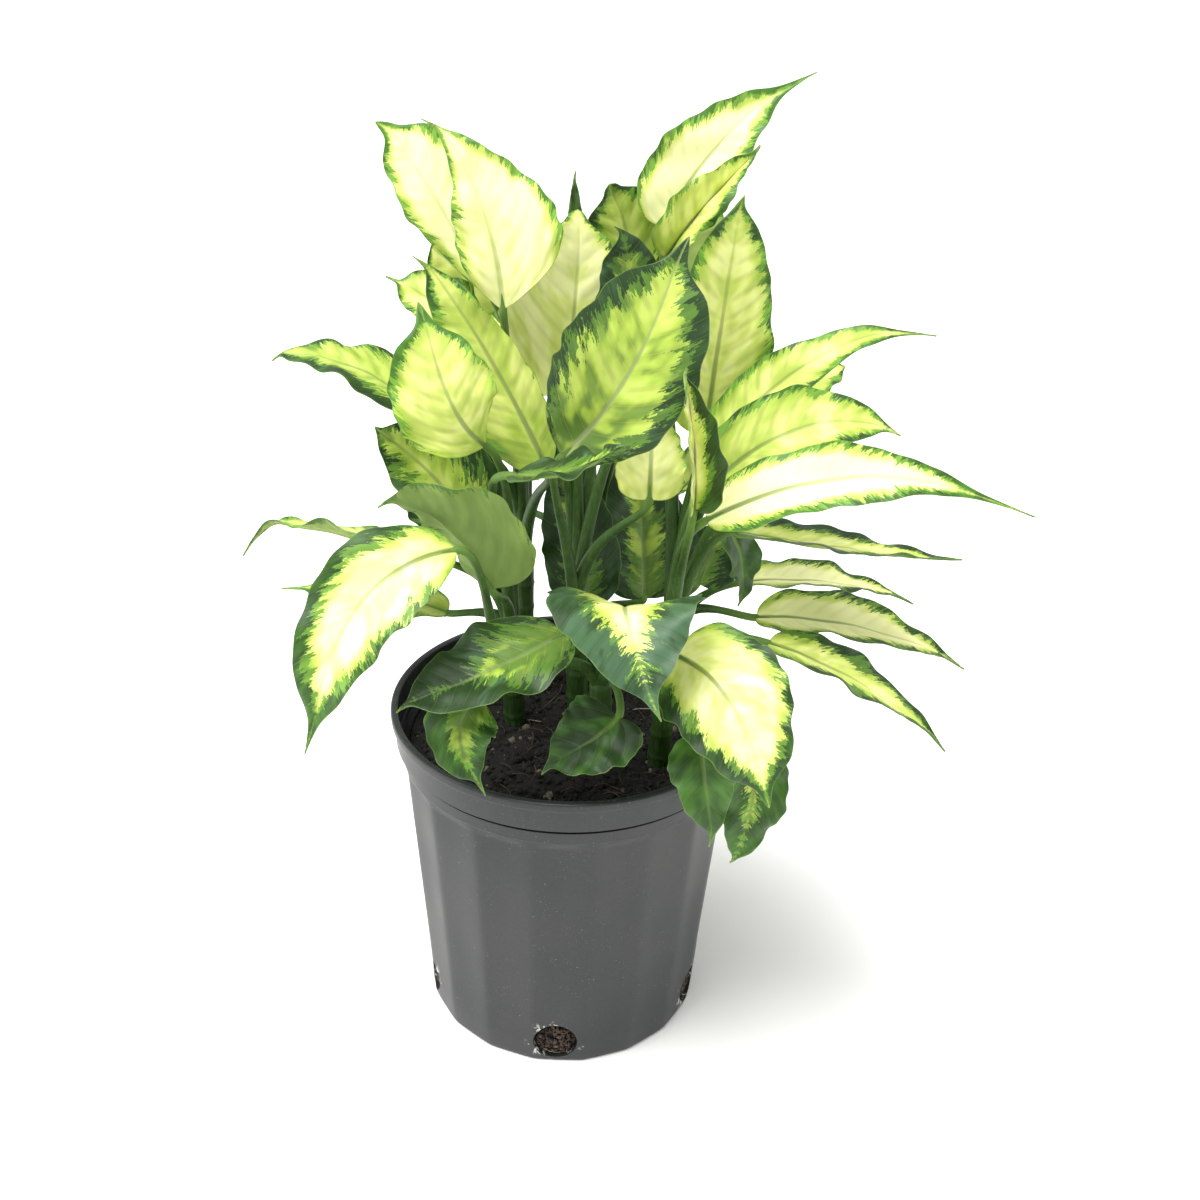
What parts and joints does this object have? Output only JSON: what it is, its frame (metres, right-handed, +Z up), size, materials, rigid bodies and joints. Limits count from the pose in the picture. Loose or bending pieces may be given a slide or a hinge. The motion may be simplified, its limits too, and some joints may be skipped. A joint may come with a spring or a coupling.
{
  "type": "potted dieffenbachia",
  "caption": "Variegated leafy house plant: broad pointed leaves with pale centres and green margins, on upright canes in soil in a round fluted nursery pot.",
  "frame": {"origin": "centre of the pot's flat underside", "axes": "+Z up; -Y towards the side that the reference view shows, +X to the right in that view"},
  "size_m": [0.3277, 0.269, 0.4385],
  "materials": {
    "pot": "satin blue-black moulded plastic with soil dust and dried water marks",
    "soil": "dark moist potting mix of bark, peat and coir",
    "stem": "smooth mid-green canes and leaf stalks",
    "leaf": "waxy leaves, cream to yellow-green inside a speckled dark green margin, duller below"
  },
  "bodies": {
    "root": {"pot": "pot", "soil": "soil", "stem_left": "stem", "stem_back_left": "stem", "stem_centre": "stem", "stem_front": "stem", "stem_right": "stem", "stem_back_right": "stem", "stem_back": "stem", "leaf_left_upper_front": "leaf", "leaf_low_centre": "leaf", "leaf_left_middle": "leaf", "leaf_left_underside": "leaf", "leaf_left_drooping": "leaf", "leaf_far_left_thin": "leaf", "leaf_left_low_back": "leaf", "leaf_top_left_back": "leaf", "leaf_top_left_front": "leaf", "leaf_upper_left_small": "leaf", "leaf_upper_left_tip": "leaf", "leaf_left_upper": "leaf", "leaf_far_left_upper": "leaf", "leaf_centre_front": "leaf", "leaf_centre_pale": "leaf", "leaf_centre_top": "leaf", "leaf_centre_spear": "leaf", "leaf_centre_dark_tip": "leaf", "leaf_centre_pale_back": "leaf", "leaf_front_left": "leaf", "leaf_front_left_low": "leaf", "leaf_young_heart": "leaf", "leaf_front_centre": "leaf", "leaf_front_right": "leaf", "leaf_front_right_low": "leaf", "leaf_right_low_hanging": "leaf", "leaf_young_folded": "leaf", "leaf_right_long": "leaf", "leaf_right_middle": "leaf", "leaf_right_lowest": "leaf", "leaf_right_curled": "leaf", "leaf_right_thin_upper": "leaf", "leaf_right_upper": "leaf", "leaf_right_upper_back": "leaf", "leaf_right_thin_lower": "leaf", "leaf_right_low": "leaf", "leaf_right_inner": "leaf", "leaf_upper_right": "leaf", "leaf_top_right": "leaf", "leaf_top_right_folded": "leaf", "leaf_inner_left": "leaf", "leaf_inner_right": "leaf", "leaf_back_top_left": "leaf", "leaf_back_top_right": "leaf", "leaf_back_upper": "leaf", "leaf_back_high_left": "leaf", "leaf_back_high_right": "leaf", "leaf_back_middle": "leaf", "leaf_back_low_left": "leaf", "leaf_back_low_right": "leaf", "leaf_back_low": "leaf"}
  },
  "joints": []
}
